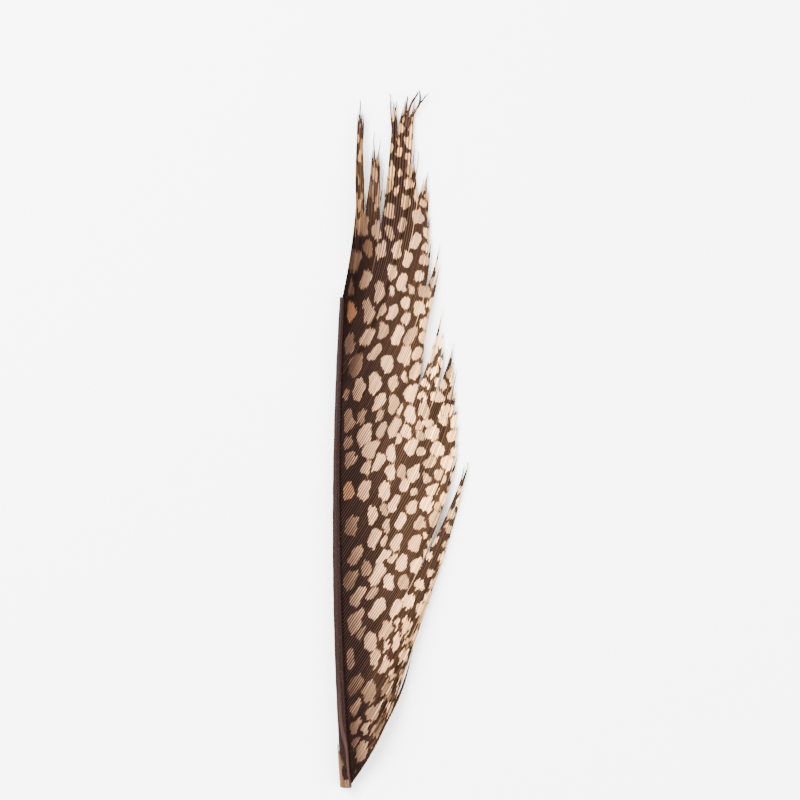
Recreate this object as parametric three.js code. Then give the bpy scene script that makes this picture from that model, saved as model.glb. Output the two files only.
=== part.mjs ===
// A section of a golden pheasant's central tail feather, lying on its side with its two vanes
// folded together. Millimetres, +Z up. The shaft runs along +Y from its cut lower end, the barbs
// lean from it towards +X, and everything rests on the surface Z = 0.
import * as THREE from 'three';

// Driving dimensions of the shaft. Widths are seen from above, and depths from the side. The bow
// gives the centre line's distance to the side at the ends, and the pull between them.
const SHAFT_LENGTH = 98;
const SHAFT_WIDTH = { cut: 2.05, top: 1.1 };
const SHAFT_DEPTH = { cut: 2.6, top: 1.7 };
const SHAFT_BOW = { cut: 1.9, pull: -1.64, top: 1.05 };
const SHAFT_LIFT = 0.74;
const SHAFT_RINGS = 20;
const SHAFT_SIDES = 12;
const SHAFT_SQUARENESS = 0.72;

// Driving dimensions that both vanes share.
const SEAM = 0.3;
const ROOT_THICKNESS = 0.42;
const EDGE_THICKNESS = 0.22;
const LOCK_RIDGE = 0.1;
const ROWS = 11;
const EDGE_CROWDING = 1.4;

// The upper vane's barbs lean from the shaft by these degrees at the root and at the tip, from
// the cut end to the top. They gather into clumps of locks, and between two clumps the vane is
// split from a share of the barbs' length outwards. A clump runs to a place along the shaft, from
// 0 at the cut end to 1 at the top, and its tips follow a curve through the points given.
const UPPER_VANE = {
  rootLean: { cut: 33, top: 15, turn: 0.86 },
  tipLean: { cut: 22, top: 0 },
  tipRun: { cut: 0.34, top: 0.56 },
  arch: { cut: 2.3, top: 1.5 },
  clumps: [
    {
      to: 0.195, locks: 7, split: 1,
      tips: [[13.6, 23.6], [17.5, 34.4], [22, 47.4], [26.3, 64], [24.4, 63.4]],
    },
    { to: 0.44, locks: 8, split: 0.47, tips: [[24.2, 63.6], [24, 70], [23.4, 78.4], [22.7, 88.8]] },
    { to: 0.51, locks: 3, split: 0.76, tips: [[21.8, 86.4], [21.2, 91], [20.7, 95.8]] },
    {
      to: 0.655, locks: 6, split: 0.67,
      tips: [[17.2, 84.4], [17.8, 90.4], [19, 97.4], [20.5, 103.8], [20.2, 109]],
    },
    { to: 0.8, locks: 5, split: 0.76, tips: [[19.2, 109], [18.6, 115], [18.2, 123.4], [16.8, 121]] },
    {
      to: 0.91, locks: 5, split: 0.91,
      tips: [[16.4, 124], [14.4, 130.4], [15.6, 138], [13, 137.4], [10.8, 138.8]],
    },
    { to: 0.96, locks: 2, split: 0.58, tips: [[9.2, 121], [7.8, 131.5], [6.2, 123]] },
    { to: 1, locks: 2, split: 0.67, tips: [[5.5, 131.6], [4.6, 138.4], [3.5, 131]] },
  ],
};

// The lower vane is folded under the upper one and lies flat, so less of its width shows from
// above.
const LOWER_VANE = {
  rootLean: { cut: 28, top: 12, turn: 0.7 },
  tipLean: { cut: 16, top: 1 },
  tipRun: { cut: 0.36, top: 0.4 },
  arch: { cut: 0, top: 0 },
  clumps: [
    { to: 0.2, locks: 7, split: 1, tips: [[8.4, 22], [11.2, 40], [12.2, 54], [12.6, 62]] },
    { to: 0.42, locks: 7, split: 0.72, tips: [[12, 62], [12.2, 74], [12, 86]] },
    { to: 0.64, locks: 7, split: 0.72, tips: [[11.4, 85], [11.2, 98], [10.2, 108.6]] },
    { to: 0.84, locks: 6, split: 0.72, tips: [[9.6, 107], [8.6, 114], [6.8, 119.4]] },
    { to: 1, locks: 5, split: 0.7, tips: [[5.6, 118.6], [4.8, 124.4], [4.2, 127.6]] },
  ],
};

// A repeatable number from 0 to 1 for each whole number.
function scatter(index) {
  const wave = Math.sin(index * 127.1 + 11.7) * 43758.5453;
  return wave - Math.floor(wave);
}

const { lerp, clamp, degToRad, smoothstep } = THREE.MathUtils;

// The shaft's centre line, bowed to the side, and its size at a place along it.
function shaftCentre(at) {
  const ends = (1 - at) ** 2 * SHAFT_BOW.cut + at ** 2 * SHAFT_BOW.top;
  return ends + 2 * at * (1 - at) * SHAFT_BOW.pull;
}

function shaftWidth(at) {
  return lerp(SHAFT_WIDTH.cut, SHAFT_WIDTH.top, at ** 1.5);
}

function shaftDepth(at) {
  return lerp(SHAFT_DEPTH.cut, SHAFT_DEPTH.top, at);
}

// The middle of each vane's root beside or below the shaft, and the height of its middle above
// the surface at a share of a barb's length. The upper vane arches from the shaft's flank down to
// the surface. The lower vane grows from the shaft's underside and lies on the surface, and beside
// the cut its edge shows past the shaft.
function upperRoot(at) {
  return shaftCentre(at) + shaftWidth(at) / 2 + SEAM;
}

function lowerRoot(at) {
  const past = lerp(0.68, 0.1, smoothstep(at, 0, 0.12));
  return shaftCentre(at) - past * shaftWidth(at);
}

function upperHeight(at, share) {
  const root = SHAFT_LIFT + shaftDepth(at) * 0.66;
  const tip = EDGE_THICKNESS / 2 + 1.3 * smoothstep(at, 0.85, 1);
  const arch = lerp(UPPER_VANE.arch.cut, UPPER_VANE.arch.top, at);
  return lerp(root, tip, share * share) + arch * Math.sin(Math.PI * share);
}

function lowerHeight(at, share) {
  return thickness(share) / 2;
}

function thickness(share) {
  return lerp(ROOT_THICKNESS, EDGE_THICKNESS, share);
}

// The curve of one barb seen from above. It leaves the shaft at its root lean and straightens up
// to its tip lean.
function barbCurve(vane, root, tip, at) {
  const reach = root.distanceTo(tip);
  const { rootLean, tipLean, tipRun } = vane;
  const leave = degToRad(lerp(rootLean.cut, rootLean.top, smoothstep(at, rootLean.turn, 1)));
  const arrive = degToRad(lerp(tipLean.cut, tipLean.top, at));
  const run = lerp(tipRun.cut, tipRun.top, at ** 4);
  const afterRoot = new THREE.Vector2(Math.sin(leave), Math.cos(leave))
    .multiplyScalar(reach * 0.33).add(root);
  const beforeTip = new THREE.Vector2(Math.sin(arrive), Math.cos(arrive))
    .multiplyScalar(-reach * run).add(tip);
  return new THREE.CubicBezierCurve(root, afterRoot, beforeTip, tip);
}

// Collects triangles, with corners that can be shared between them.
class SolidBuilder {
  constructor() {
    this.points = [];
    this.faces = [];
  }

  point(x, y, z) {
    this.points.push(x, y, z);
    return this.points.length / 3 - 1;
  }

  triangle(a, b, c) {
    if (a !== b && b !== c && c !== a) this.faces.push(a, b, c);
  }

  quad(a, b, c, d) {
    this.triangle(a, b, c);
    this.triangle(a, c, d);
  }

  geometry() {
    const geometry = new THREE.BufferGeometry();
    geometry.setAttribute('position', new THREE.Float32BufferAttribute(this.points, 3));
    geometry.setIndex(this.faces);
    geometry.computeVertexNormals();
    return geometry;
  }
}

// Rows crowd towards the free edge, where the locks come to their points.
function rowShare(row) {
  return 1 - (1 - row / ROWS) ** EDGE_CROWDING;
}

function rowBefore(share) {
  let row = 0;
  while (rowShare(row + 1) <= share + 1e-6) row += 1;
  return row;
}

// A vane's clumps, each with the curve of its own tips, and the points between clumps where the
// tips of both would meet if the vane weren't split there.
function clumpList(clumps) {
  const list = clumps.map((clump, number) => ({
    ...clump,
    from: number > 0 ? clumps[number - 1].to : 0,
    own: new THREE.SplineCurve(clump.tips.map(([x, y]) => new THREE.Vector2(x, y))),
  }));
  list.forEach((clump, number) => {
    const [below, above] = [list[number - 1], list[number + 1]];
    clump.splitAbove = above ? above.split : clump.split;
    clump.first = clump.own.getPoint(0).lerp(below ? below.own.getPoint(1) : clump.own.getPoint(0), 0.5);
    clump.last = clump.own.getPoint(1).lerp(above ? above.own.getPoint(0) : clump.own.getPoint(1), 0.5);
  });
  return list;
}

// A point of a barb seen from above, at a share of its length. Up to the split the barb lies in
// the unbroken vane, and past it the barb bends towards the tips of its own clump.
function barbPath(vane, rootAcross, clump, at) {
  const along = (at - clump.from) / (clump.to - clump.from);
  const root = new THREE.Vector2(rootAcross(at), SHAFT_LENGTH * at);
  const own = clump.own.getPoint(along);
  const toFirst = clump.first.clone().sub(clump.own.getPoint(0)).multiplyScalar(1 - along);
  const toLast = clump.last.clone().sub(clump.own.getPoint(1)).multiplyScalar(along);
  const unbroken = barbCurve(vane, root, own.clone().add(toFirst).add(toLast), at);
  const parted = barbCurve(vane, root, own, at);
  const split = lerp(clump.split, clump.splitAbove, along);
  return (share) => unbroken.getPoint(share)
    .lerp(parted.getPoint(share), smoothstep(share, split, 1));
}

// Every lock of a vane, with its two sides along the shaft, and the row at which it parts from
// the lock below it.
function lockList(clumps) {
  const locks = [];
  clumps.forEach((clump) => {
    for (let index = 0; index < clump.locks; index += 1) {
      const low = lerp(clump.from, clump.to, index / clump.locks);
      const high = lerp(clump.from, clump.to, (index + 1) / clump.locks);
      const split = index === 0 ? clump.split : 0.88 + 0.09 * scatter(locks.length);
      const end = 1 - 0.025 * scatter(locks.length + 50);
      locks.push({ low, high, middle: (low + high) / 2, end, clump, parts: rowBefore(split) });
    }
  });
  locks[0].parts = 0;
  return locks;
}

// One vane as a closed sheet of locks. Neighbouring locks share their corners from the shaft to
// their split, and past it each has sides of its own that run together in a point.
function vaneGeometry(vane, rootAcross, height) {
  const builder = new SolidBuilder();
  const locks = lockList(clumpList(vane.clumps));
  const pair = (at, share, lift, place) => {
    const middle = height(at, share);
    const half = thickness(share) / 2;
    const bottom = Math.max(middle - half, 0);
    const top = middle + half + lift;
    return [builder.point(place.x, place.y, top), builder.point(place.x, place.y, bottom)];
  };

  let below = null;
  locks.forEach((lock, number) => {
    const above = locks[number + 1];
    const partsAbove = above ? above.parts : 0;
    const [lowPath, middlePath, highPath] = [lock.low, lock.middle, lock.high]
      .map((at) => barbPath(vane, rootAcross, lock.clump, at));
    const columns = { low: [], middle: [], high: [] };

    for (let row = 0; row < ROWS; row += 1) {
      const share = rowShare(row) * lock.end;
      const centre = middlePath(share);
      const side = (path, parts) => {
        const gather = 0.03 + 0.97 * smoothstep(rowShare(row), rowShare(parts), 1) ** 1.5;
        return path(share).lerp(centre, row > parts ? gather : 0);
      };
      if (number > 0 && row <= lock.parts) {
        columns.low.push(below[row]);
      } else {
        columns.low.push(pair(lock.low, share, 0, side(lowPath, lock.parts)));
      }
      columns.middle.push(pair(lock.middle, share, LOCK_RIDGE, centre));
      columns.high.push(pair(lock.high, share, 0, side(highPath, partsAbove)));
    }
    const end = middlePath(lock.end);
    const tip = builder.point(end.x, end.y, height(lock.middle, lock.end));
    [columns.low, columns.middle, columns.high].forEach((column) => column.push([tip, tip]));

    for (let row = 0; row < ROWS; row += 1) {
      const strips = [[columns.low, columns.middle], [columns.middle, columns.high]];
      strips.forEach(([left, right]) => {
        const [a, b, c, d] = [left[row], right[row], right[row + 1], left[row + 1]];
        builder.quad(d[0], c[0], b[0], a[0]);
        builder.quad(a[1], b[1], c[1], d[1]);
      });
      if (row >= lock.parts) {
        const [a, b] = [columns.low[row], columns.low[row + 1]];
        builder.quad(a[0], a[1], b[1], b[0]);
      }
      if (row >= partsAbove) {
        const [a, b] = [columns.high[row], columns.high[row + 1]];
        builder.quad(b[0], b[1], a[1], a[0]);
      }
    }
    const [low, middle, high] = [columns.low[0], columns.middle[0], columns.high[0]];
    builder.quad(low[0], middle[0], middle[1], low[1]);
    builder.quad(middle[0], high[0], high[1], middle[1]);
    below = columns.high;
  });
  return builder.geometry();
}

// The shaft as rings of a rounded square, closed by its two flat cuts.
function shaftGeometry() {
  const builder = new SolidBuilder();
  const squared = (value) => Math.sign(value) * Math.abs(value) ** SHAFT_SQUARENESS;
  const flat = squared(Math.sin((Math.PI / SHAFT_SIDES) * 5));
  const rings = [];
  for (let ring = 0; ring <= SHAFT_RINGS; ring += 1) {
    const at = ring / SHAFT_RINGS;
    const corners = [];
    for (let side = 0; side < SHAFT_SIDES; side += 1) {
      const turn = ((side + 0.5) / SHAFT_SIDES) * Math.PI * 2;
      const across = squared(Math.cos(turn)) * (shaftWidth(at) / 2);
      const up = clamp(squared(Math.sin(turn)) / flat, -1, 1);
      const height = SHAFT_LIFT + (shaftDepth(at) / 2) * (1 + up);
      corners.push(builder.point(shaftCentre(at) + across, SHAFT_LENGTH * at, height));
    }
    rings.push(corners);
  }
  for (let ring = 0; ring < SHAFT_RINGS; ring += 1) {
    for (let side = 0; side < SHAFT_SIDES; side += 1) {
      const next = (side + 1) % SHAFT_SIDES;
      const [near, far] = [rings[ring], rings[ring + 1]];
      builder.quad(near[next], near[side], far[side], far[next]);
    }
  }
  const [first, last] = [rings[0], rings[SHAFT_RINGS]];
  for (let side = 1; side < SHAFT_SIDES - 1; side += 1) {
    builder.triangle(first[0], first[side], first[side + 1]);
    builder.triangle(last[0], last[side + 1], last[side]);
  }
  return builder.geometry();
}

function piece(name, geometry, color, roughness) {
  const material = new THREE.MeshStandardMaterial({ color, roughness, metalness: 0 });
  const mesh = new THREE.Mesh(geometry, material);
  mesh.name = name;
  return mesh;
}

// The whole feather, moved so that its origin is under its middle, on the surface.
const feather = new THREE.Group();
feather.add(
  piece('shaft', shaftGeometry(), 0x4a3836, 0.35),
  piece('upper_vane', vaneGeometry(UPPER_VANE, upperRoot, upperHeight), 0xb99a7d, 0.6),
  piece('lower_vane', vaneGeometry(LOWER_VANE, lowerRoot, lowerHeight), 0xa98a6f, 0.6),
);
const extent = new THREE.Box3().setFromObject(feather);
const centre = extent.getCenter(new THREE.Vector3());
feather.position.set(-centre.x, -centre.y, -extent.min.z);
feather.updateMatrixWorld(true);

export default feather;
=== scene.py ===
"""A section of a golden pheasant's central tail feather, lying on its side on a pale floor.

The shaft is a lofted horny rod. Each vane is made of separate barbs, which follow nearly the
same curves as the locks of the part that the frame holds. Lengths in the code are millimetres in
the feather's own plan: x from the shaft to the free edge, y along the shaft from its cut lower
end. Places from 0 to 1 are named "at" along the row of barbs, and "share" along a barb.
"""

import math

import bpy
import numpy as np
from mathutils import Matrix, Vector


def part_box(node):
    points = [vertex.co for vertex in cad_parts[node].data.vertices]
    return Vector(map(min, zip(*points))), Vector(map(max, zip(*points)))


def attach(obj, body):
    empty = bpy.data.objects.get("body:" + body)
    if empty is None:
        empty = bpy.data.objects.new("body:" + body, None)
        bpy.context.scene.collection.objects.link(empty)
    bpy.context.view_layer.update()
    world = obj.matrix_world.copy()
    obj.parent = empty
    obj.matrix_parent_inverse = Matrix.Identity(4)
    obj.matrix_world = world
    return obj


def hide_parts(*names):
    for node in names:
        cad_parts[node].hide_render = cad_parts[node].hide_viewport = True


bl_info = {
    "name": "Pheasant Tail Feather",
    "version": (1, 0, 0),
    "blender": (4, 5, 0),
    "location": "View3D > Sidebar > Feather",
    "description": "Builds a spotted tail feather, barb by barb, with its floor, lights and camera",
    "category": "Add Mesh",
}

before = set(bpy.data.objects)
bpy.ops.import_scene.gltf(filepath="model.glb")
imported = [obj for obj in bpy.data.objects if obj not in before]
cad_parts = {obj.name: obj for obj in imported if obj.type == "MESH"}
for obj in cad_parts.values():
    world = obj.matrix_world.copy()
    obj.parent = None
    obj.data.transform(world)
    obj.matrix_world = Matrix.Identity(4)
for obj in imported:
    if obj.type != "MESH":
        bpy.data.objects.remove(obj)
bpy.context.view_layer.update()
MM = 0.001
TINY = 1e-9

# The shaft, as in the part: widths seen from above, depths from the side, and the bow of its
# centre line.
SHAFT_LENGTH = 98
SHAFT_WIDTH = {"cut": 2.05, "top": 1.1}
SHAFT_DEPTH = {"cut": 2.6, "top": 1.7}
SHAFT_BOW = {"cut": 1.9, "pull": -1.64, "top": 1.05}
SHAFT_LIFT = 0.74
SHAFT_SQUARENESS = 0.72

# Rings over a cut end of the shaft: how many skins each lies inside the rim, how far it is sunk,
# and whether it is pith. Two share a place, so that the pith has a crisp edge.
CUT_RINGS = ((0, 0, 0), (0, 0, 1), (1, 0.12, 1), (1.4, 0.2, 1))

# The vanes' gap beside the shaft, their thickness, and where they meet the shaft, as in the part.
SEAM = 0.3
ROOT_THICKNESS = 0.42
EDGE_THICKNESS = 0.22
UPPER_FOLD = 0.66
TUFT_LIFT = 1.3
LOWER_PAST_SHAFT = {"cut": 0.68, "above": 0.1, "until": 0.12}

# Where locks part inside a clump and where their barbs end, with what chance adds or takes. The
# part's locks can only part on its rows, so these do too.
ROWS = 11
EDGE_CROWDING = 1.4
LOCK_SPLIT = {"least": 0.88, "spread": 0.09}
LOCK_END = {"most": 1.008, "spread": 0.022}
OUTER_SPLIT = 0.8

# The two vanes. Pairs go from the cut to the top. Leans are angles from the shaft in degrees, and
# that of the roots also has the place where it starts to change. The tip run is the share of a
# barb that is straight at its tip, and the arch is the vane's rise between its edges. The foot
# holds how far up the shaft the lowest barbs start, and how much their leans differ. A clump holds
# where it ends, its number of locks, where it parts from the clump below, and tips of its barbs,
# which lie close to those of the part.
UPPER_VANE = {
    "foot": {"rise": 1.2, "leave": 2, "arrive": 8},
    "root_lean": (33, 15, 0.86),
    "tip_lean": (22, 0),
    "tip_run": (0.34, 0.56),
    "arch": (2.3, 1.5),
    "spot_seed": 7,
    "spot_tries": 12000,
    "barb_seed": 11,
    "clumps": [
        (0.195, 7, 1, [(13.6, 23.6), (17.5, 34.4), (22, 47.4), (26.4, 64), (25.2, 63.4)]),
        (0.44, 8, 0.47, [(23.9, 63.6), (24.5, 70), (24, 78.8), (23.2, 90.4)]),
        (0.51, 3, 0.76, [(21.8, 86.4), (21.4, 91.6), (21.1, 97.6)]),
        (0.655, 6, 0.67, [(17.2, 84.4), (17.8, 90.4), (19, 97.4), (20.6, 104.6), (20.5, 111)]),
        (0.8, 5, 0.76, [(19.2, 109), (18.6, 115), (18.2, 123.4), (16.8, 121)]),
        (0.91, 5, 0.91, [(16.4, 124), (14.4, 130.4), (15.6, 138), (13, 137.4), (10.3, 138.8)]),
        (0.96, 2, 0.58, [(9.2, 121), (7.8, 131.5), (6.2, 123)]),
        (1, 2, 0.67, [(5.5, 131.6), (4.6, 138.4), (3.5, 131)]),
    ],
}
LOWER_VANE = {
    "foot": {"rise": 0, "leave": 0, "arrive": 0},
    "root_lean": (28, 12, 0.7),
    "tip_lean": (16, 1),
    "tip_run": (0.36, 0.4),
    "spot_seed": 23,
    "spot_tries": 4000,
    "barb_seed": 31,
    "clumps": [
        (0.2, 7, 1, [(8.4, 22), (11.2, 40), (12.2, 54), (12.6, 62)]),
        (0.42, 7, 0.72, [(12, 62), (12.2, 74), (12, 86)]),
        (0.64, 7, 0.72, [(11.4, 85), (11.2, 98), (10.2, 108.6)]),
        (0.84, 6, 0.72, [(9.6, 107), (8.6, 114), (6.8, 119.4)]),
        (1, 5, 0.7, [(5.6, 118.6), (4.8, 124.4), (4.2, 127.6)]),
    ],
}

# Loose barbs that stand away from the upper vane: points along each one with their height above
# the surface, its width at the start, and how dark it is.
LOOSE_BARBS = [
    ([(13, 131, 0.7), (13.3, 134, 0.7), (13.8, 135.6, 0.8), (13.95, 137.1, 0.9),
      (14.1, 138.1, 1.1), (13.8, 138.2, 1.3)], 0.42, 0.9),
    ([(13.6, 131, 0.75), (14, 134, 0.8), (14.4, 135.6, 1), (15, 137.1, 1.2),
      (15.8, 138.3, 1.3), (16.1, 138.8, 1.5), (15.8, 139.1, 1.7)], 0.5, 1),
    ([(14, 131, 0.8), (14.6, 134, 0.8), (15.3, 134.9, 0.9), (16, 135.9, 1.1),
      (16.45, 136.8, 1.3), (16.6, 137.8, 1.6), (16.5, 138.9, 1.7), (16.3, 139.5, 1.7)], 0.55, 0.9),
    ([(15.3, 134.9, 0.9), (16.1, 136.2, 1.1), (17.1, 137.5, 1.2), (17.8, 138.4, 1.2),
      (18.4, 138.9, 1.2)], 0.34, 0.2),
    ([(10.9, 132, 0.7), (10.7, 136, 0.5), (10.7, 138, 0.4), (10.5, 139, 0.5)], 0.3, 0.5),
    ([(11.6, 132, 0.7), (11.7, 135, 0.6), (11.9, 137.6, 0.5)], 0.3, 0.4),
    ([(6.2, 8, 4.1), (7.7, 9.7, 4.1), (10.8, 15, 3.3), (13.2, 20.2, 1.9), (14.7, 25.4, 0.7)],
     0.5, 1.6),
    ([(9.6, 13.4, 3.4), (12.4, 18.8, 2.2), (14.4, 24.4, 0.9), (15.2, 27.6, 0.4)], 0.2, 0.2),
    ([(4.1, 126, 1.6), (4.4, 132, 1.5), (4.6, 136, 1.4), (4.6, 137.6, 1.3)], 0.36, 1),
    ([(4.8, 126, 1.6), (5.2, 131, 1.5), (5.3, 134.6, 1.4)], 0.34, 0.9),
    ([(6.8, 119, 1.5), (7.5, 125, 1.3), (7.3, 129, 1.2), (7.5, 131.2, 1.3)], 0.3, 0.9),
    ([(7.2, 119, 1.5), (8, 125, 1.3), (8.7, 129.6, 1)], 0.3, 0.7),
    ([(7.6, 117, 1.6), (8.4, 122, 1.4), (8.5, 126.4, 1.1)], 0.26, 0.5),
    ([(7.9, 114, 1.7), (8.9, 119, 1.4), (9.2, 123.6, 1)], 0.24, 0.6),
    ([(8.6, 111, 1.8), (9.5, 116, 1.4), (9.4, 119.8, 1.1)], 0.22, 0.3),
    ([(14.7, 122, 1.3), (15.3, 126, 1), (15.5, 129.2, 0.7)], 0.26, -0.3),
    ([(15.2, 120, 1.3), (16, 124, 1), (16.3, 127.4, 0.6)], 0.26, -0.4),
    ([(16.6, 117, 1.1), (17.6, 120.6, 0.7), (18.2, 123.4, 0.4)], 0.24, 0.2),
    ([(22.2, 74, 1.3), (23.2, 79.4, 0.8), (24.1, 84, 0.4)], 0.24, 0.8),
    ([(24.4, 58, 1), (25.5, 61.6, 0.6), (26.2, 64.2, 0.3), (26, 64.9, 0.3)], 0.26, 0.5),
    ([(24, 58, 1), (24.9, 61.4, 0.6), (25.4, 64, 0.4)], 0.2, 0.4),
]
LOOSE_STATIONS = 26
LOOSE_BARS = {"depth": 0.9, "rate": 9, "shift": 2.1}

# Spots: half length and half width, how full they are, and the dark net between them. Each has
# its amount all over the vane, if any, and what the zones of the vane add to it. Chance gives
# them a scale, a tilt, and a little more or less of the fill and the net.
SPOT_LENGTH = {"all": 1.75, "shaft": 0.6, "edge": -0.62}
SPOT_WIDTH = {"all": 0.98, "shaft": 0.28, "edge": 0.27}
SPOT_FILL = {"all": 0.87, "edge": 0.03, "upper": -0.05, "shaft": -0.06, "top": 0.08}
SPOT_NET = {"upper": 0.2, "top": -0.05, "edge": 0.1}
SPOT_SCALE = {"least": 0.76, "spread": 0.5}
SPOT_TILT = (-0.3, 0.3)
FILL_CHANCE = (0.86, 1.12)
NET_CHANCE = (-0.08, 0.4)
SPOT_CLEARANCE = 0.86
SPOT_POWER = 2.4
SPOT_WAVE = {"height": 0.24, "rate": 1.7, "shift": (0.4, 1.7)}
PLACES_AT_ONCE = 20000

# The place on barbs where locks are widest, how many barbs a pitch has there, and the share of a
# barb that is straight at its root.
WIDEST = 0.62
CROWDING = {"locks": 0.45, "tufts": 0.75, "tufts from": 0.79}
ROOT_RUN = 0.33

# A barb's ribbon: its corners over the ridge from left to right and the one beneath, how far it
# overlaps its neighbours, its ridge, its tip, and the lowest place of any corner. The upper ones
# start in a socket under the shaft's flank.
ACROSS = np.array([-1, -0.4, 0, 0.4, 1, 0])
UNDER = np.array([0, 0, 0, 0, 0, 1.0])
OVERLAP = 1.03
RIDGE = 0.09
TIP_WIDTH = 0.12
TIP_TAPER = (-0.8, 2.4)
FLOOR_GAP = 0.015
SOCKET = {"inward": 0.2, "back": 0.7}

# Marks of the barbs: the width over which their colours change, the heights where tufts turn
# golden, and the share of loose barbs that get a streak of painted light, pale as a glint or dark as
# shade, with its length.
COLOUR_WIDTH = 22
GOLDEN_HEIGHTS = (106, 128)
PAINTED_STREAK_SHARE = 0.2
PAINTED_STREAK_FADE = (0.12, 0.2)

# The sliver of the lower vane that is folded round the shaft at the cut: turns round the shaft in
# degrees, how far its barbs reach at some of them, its dark patch, how far it stands off the
# shaft at the turns that face down, and the heights of a barb's corners over the shaft.
FLAP_TURNS = (204, 70)
FLAP_BARBS = 14
FLAP_STATIONS = 24
FLAP_REACH = {70: 2.4, 95: 6, 204: 8.6}
FLAP_PATCH = {"middle": 3.1, "half": 1.7, "turns": (104, 122)}
FLAP_SWELL = {"most": 0.2, "turns": (140, 190)}
FLAP_RISES = (0.06, 0.1, 0.15, 0.1, 0.06, 0.02)

# Tints and finishes that no setting changes.
DARKEST_GROUND = (0.006, 0.003, 0.002, 1)
UNDERSIDE = (0.42, 0.36, 0.32, 1)
HORN_STREAK = (0.012, 0.006, 0.006, 1)
HORN_SPECK = (0.5, 0.42, 0.38, 1)
PITH_CELL = (0.55, 0.44, 0.36, 1)
BUMP_DISTANCE = 0.00006
SPECULAR = 0.04

# The stage, in metres: the floor's size and drop, the world's strength, the lamps' place, size
# and share of the key light's power, and the camera's height over its distance. The picture's
# middle is a place along the feather, in millimetres.
FLOOR_SIZE = 6
FLOOR_DROP = 0.0002
WORLD_STRENGTH = 2.95
LAMPS = {"key": ((-0.28, 0.22, 0.5), 0.45, 1), "fill": ((0.4, -0.15, 0.45), 0.5, 0.35)}
SENSOR_WIDTH = 36
VIEW_MIDDLE = 77.4
VIEW_HEIGHT = 0.002


def lerp(start, end, share):
    """A value between two others."""
    return start + (end - start) * share


def smooth(value, low, high):
    """An eased rise from 0 at the low value to 1 at the high one."""
    share = np.clip((value - low) / np.maximum(high - low, TINY), 0, 1)
    return share * share * (3 - 2 * share)


def scatter(index):
    """A repeatable number from 0 to 1 for each whole number, as in the part."""
    wave = np.sin(np.asarray(index, float) * 127.1 + 11.7) * 43758.5453
    return wave - np.floor(wave)


def unit(ways):
    """Directions brought to a length of one."""
    return ways / np.linalg.norm(ways, axis=-1, keepdims=True)


# The feather's plan

def shaft_centre(at):
    """Where the shaft's bowed centre line runs, across the plan."""
    ends = (1 - at) ** 2 * SHAFT_BOW["cut"] + at ** 2 * SHAFT_BOW["top"]
    return ends + 2 * at * (1 - at) * SHAFT_BOW["pull"]


def shaft_width(at):
    return lerp(SHAFT_WIDTH["cut"], SHAFT_WIDTH["top"], np.clip(at, 0, 1) ** 1.5)


def shaft_depth(at):
    return lerp(SHAFT_DEPTH["cut"], SHAFT_DEPTH["top"], at)


def distance_out(places):
    """How far places lie from the shaft's right flank, across the feather."""
    at = np.clip(places[..., 1] / SHAFT_LENGTH, 0, 1)
    return places[..., 0] - shaft_centre(at) - shaft_width(at) / 2


def thickness(share):
    return lerp(ROOT_THICKNESS, EDGE_THICKNESS, share)


def upper_root(at):
    return shaft_centre(at) + shaft_width(at) / 2 + SEAM


def lower_root(at):
    """Where the lower vane starts. At the cut it shows past the shaft's left flank."""
    past = lerp(LOWER_PAST_SHAFT["cut"], LOWER_PAST_SHAFT["above"],
                smooth(at, 0, LOWER_PAST_SHAFT["until"]))
    return shaft_centre(at) - past * shaft_width(at)


def upper_height(at, share):
    """The upper vane slopes from the shaft to the surface over an arch, and its tufts lift."""
    root = SHAFT_LIFT + shaft_depth(at) * UPPER_FOLD
    tip = EDGE_THICKNESS / 2 + TUFT_LIFT * smooth(at, 0.85, 1)
    arch = lerp(*UPPER_VANE["arch"], at)
    return lerp(root, tip, share * share) + arch * np.sin(np.pi * share)


def lower_height(at, share):
    """The lower vane lies flat on the surface all over."""
    return thickness(share) / 2 + 0 * at


UPPER_VANE.update(root=upper_root, height=upper_height)
LOWER_VANE.update(root=lower_root, height=lower_height)


def plan_origin():
    """Where the plan's origin lies in the row frame, in millimetres."""
    at = np.linspace(0, 1, 2001)
    low = np.array(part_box("shaft")[0]) / MM
    return np.array([low[0] - (shaft_centre(at) - shaft_width(at) / 2).min(), low[1], 0])


PLAN_ORIGIN = plan_origin()


def curve_through(points, share):
    """A smooth curve through points of the plan, at shares of it from 0 to 1."""
    points = np.asarray(points, float)
    place = np.clip(np.asarray(share, float), 0, 1) * (len(points) - 1)
    index = np.minimum(place.astype(int), len(points) - 2)
    past = (place - index)[..., None]
    before, here = points[np.maximum(index - 1, 0)], points[index]
    after, beyond = points[index + 1], points[np.minimum(index + 2, len(points) - 1)]
    leave, arrive = (after - before) / 2, (beyond - here) / 2
    bend = 2 * here - 2 * after + leave + arrive
    sway = -3 * here + 3 * after - 2 * leave - arrive
    return ((bend * past + sway) * past + leave) * past + here


def read_clumps(vane):
    """Every clump of a vane, with the steps from its outer tips to halfway to its neighbours'."""
    clumps = []
    low = 0
    for high, count, split, tips in vane["clumps"]:
        clumps.append({"low": low, "high": high, "count": count, "split": split, "tips": tips})
        low = high
    for number, clump in enumerate(clumps):
        below = clumps[number - 1] if number else clump
        above = clumps[number + 1] if number + 1 < len(clumps) else None
        first, last = np.array(clump["tips"][0], float), np.array(clump["tips"][-1], float)
        clump["to_first"] = (np.array(below["tips"][-1]) - first) / 2 if number else 0 * first
        clump["to_last"] = (np.array(above["tips"][0]) - last) / 2 if above else 0 * last
        clump["split_above"] = above["split"] if above else clump["split"]
    return clumps


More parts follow.
